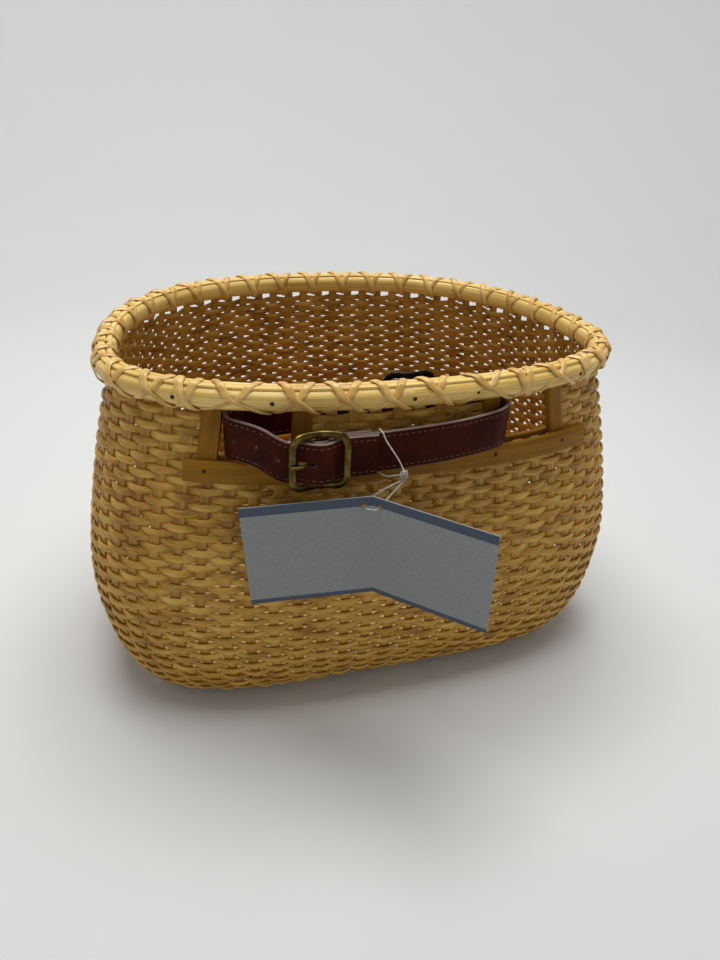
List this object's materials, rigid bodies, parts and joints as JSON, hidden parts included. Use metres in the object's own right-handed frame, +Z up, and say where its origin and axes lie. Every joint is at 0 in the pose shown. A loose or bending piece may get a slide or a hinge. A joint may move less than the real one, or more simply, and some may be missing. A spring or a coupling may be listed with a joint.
{
  "type": "wicker bicycle basket",
  "caption": "D-shaped woven cane bicycle basket with a lashed rim, a buckled leather strap loop through two slots for the handlebar, and a folded card hang tag on a string.",
  "frame": {"origin": "underside of the base board, below the widest line of the rim", "axes": "+X along the basket's width, -Y towards the handlebar, +Z up"},
  "size_m": [0.4134, 0.3759, 0.2537],
  "materials": {
    "cane": "woven golden cane, satin",
    "stave": "split cane, satin",
    "rim": "bent straw-coloured cane with fine grain",
    "board": "plain sawn board",
    "leather": "dark red-brown harness leather",
    "brass": "antique brass, dulled",
    "nail": "dark oxidised steel",
    "card": "coated card, grey-white",
    "string": "thin clear-white cord",
    "bead": "clear lock bead"
  },
  "bodies": {
    "basket": {"base_board": "board", "stave_cage": "stave", "weavers_outside": "cane", "upper_weavers_outside": "cane", "middle_weavers_outside": "cane", "weavers_inside": "cane", "upper_weavers_inside": "cane", "middle_weavers_inside": "cane", "left_inner_post": "rim", "left_outer_post": "rim", "right_inner_post": "rim", "right_outer_post": "rim", "left_inner_rail_nail": "nail", "left_outer_rail_nail": "nail", "right_inner_rail_nail": "nail", "right_outer_rail_nail": "nail", "outer_rail": "rim", "inner_rail": "rim", "outer_rim_hoop": "rim", "inner_rim_hoop": "rim", "rim_cap_strip": "rim", "rim_lashing_first": "cane", "rim_lashing_second": "cane", "rim_nail_01": "nail", "rim_nail_02": "nail", "rim_nail_03": "nail", "rim_nail_04": "nail", "rim_nail_05": "nail", "rim_nail_06": "nail", "rim_nail_07": "nail", "rim_nail_08": "nail", "rim_nail_09": "nail", "rim_nail_10": "nail", "rim_nail_11": "nail", "rim_nail_12": "nail", "rim_nail_13": "nail", "rim_nail_14": "nail", "rim_nail_15": "nail", "rim_nail_16": "nail"},
    "strap_loop": {"front_buckle_strap": "leather", "inner_buckle_strap": "leather", "tag_strap_loop": "string"},
    "front_buckle": {"front_buckle_frame": "brass"},
    "front_prong": {"front_buckle_prong": "brass"},
    "inner_buckle": {"inner_buckle_frame": "brass"},
    "inner_prong": {"inner_buckle_prong": "brass"},
    "tag": {"tag_bead": "bead", "tag_thread": "string", "tag_left_leaf": "card"},
    "tag_flap": {"tag_right_leaf": "card"}
  },
  "joints": [
    {"name": "strap_slide", "type": "slide", "parent": "basket", "child": "strap_loop", "axis": [1, 0, 0], "range_m": [0, 0.02]},
    {"name": "front_buckle_rock", "type": "hinge", "parent": "strap_loop", "child": "front_buckle", "pos_m": [-0.063, -0.11321, 0.2131], "axis": [0, 0, 1], "range_deg": [-3, 3]},
    {"name": "front_prong_lift", "type": "hinge", "parent": "front_buckle", "child": "front_prong", "pos_m": [-0.063, -0.11321, 0.2131], "axis": [0, 0, 1], "range_deg": [0, 12]},
    {"name": "inner_buckle_rock", "type": "hinge", "parent": "strap_loop", "child": "inner_buckle", "pos_m": [0.0145, -0.05738, 0.2231], "axis": [0, 0, 1], "range_deg": [-3, 3]},
    {"name": "inner_prong_lift", "type": "hinge", "parent": "inner_buckle", "child": "inner_prong", "pos_m": [0.0145, -0.05738, 0.2231], "axis": [0, 0, 1], "range_deg": [0, 12]},
    {"name": "tag_swing", "type": "hinge", "parent": "strap_loop", "child": "tag", "pos_m": [-0.01207, -0.12433, 0.20291], "axis": [-1, 0, 0], "range_deg": [0, 40]},
    {"name": "tag_fold", "type": "hinge", "parent": "tag", "child": "tag_flap", "pos_m": [-0.03357, -0.13033, 0.19461], "axis": [-0.0915, -0.1086, 0.9899], "range_deg": [-45, 30], "deforming": ["tag_thread"]}
  ]
}
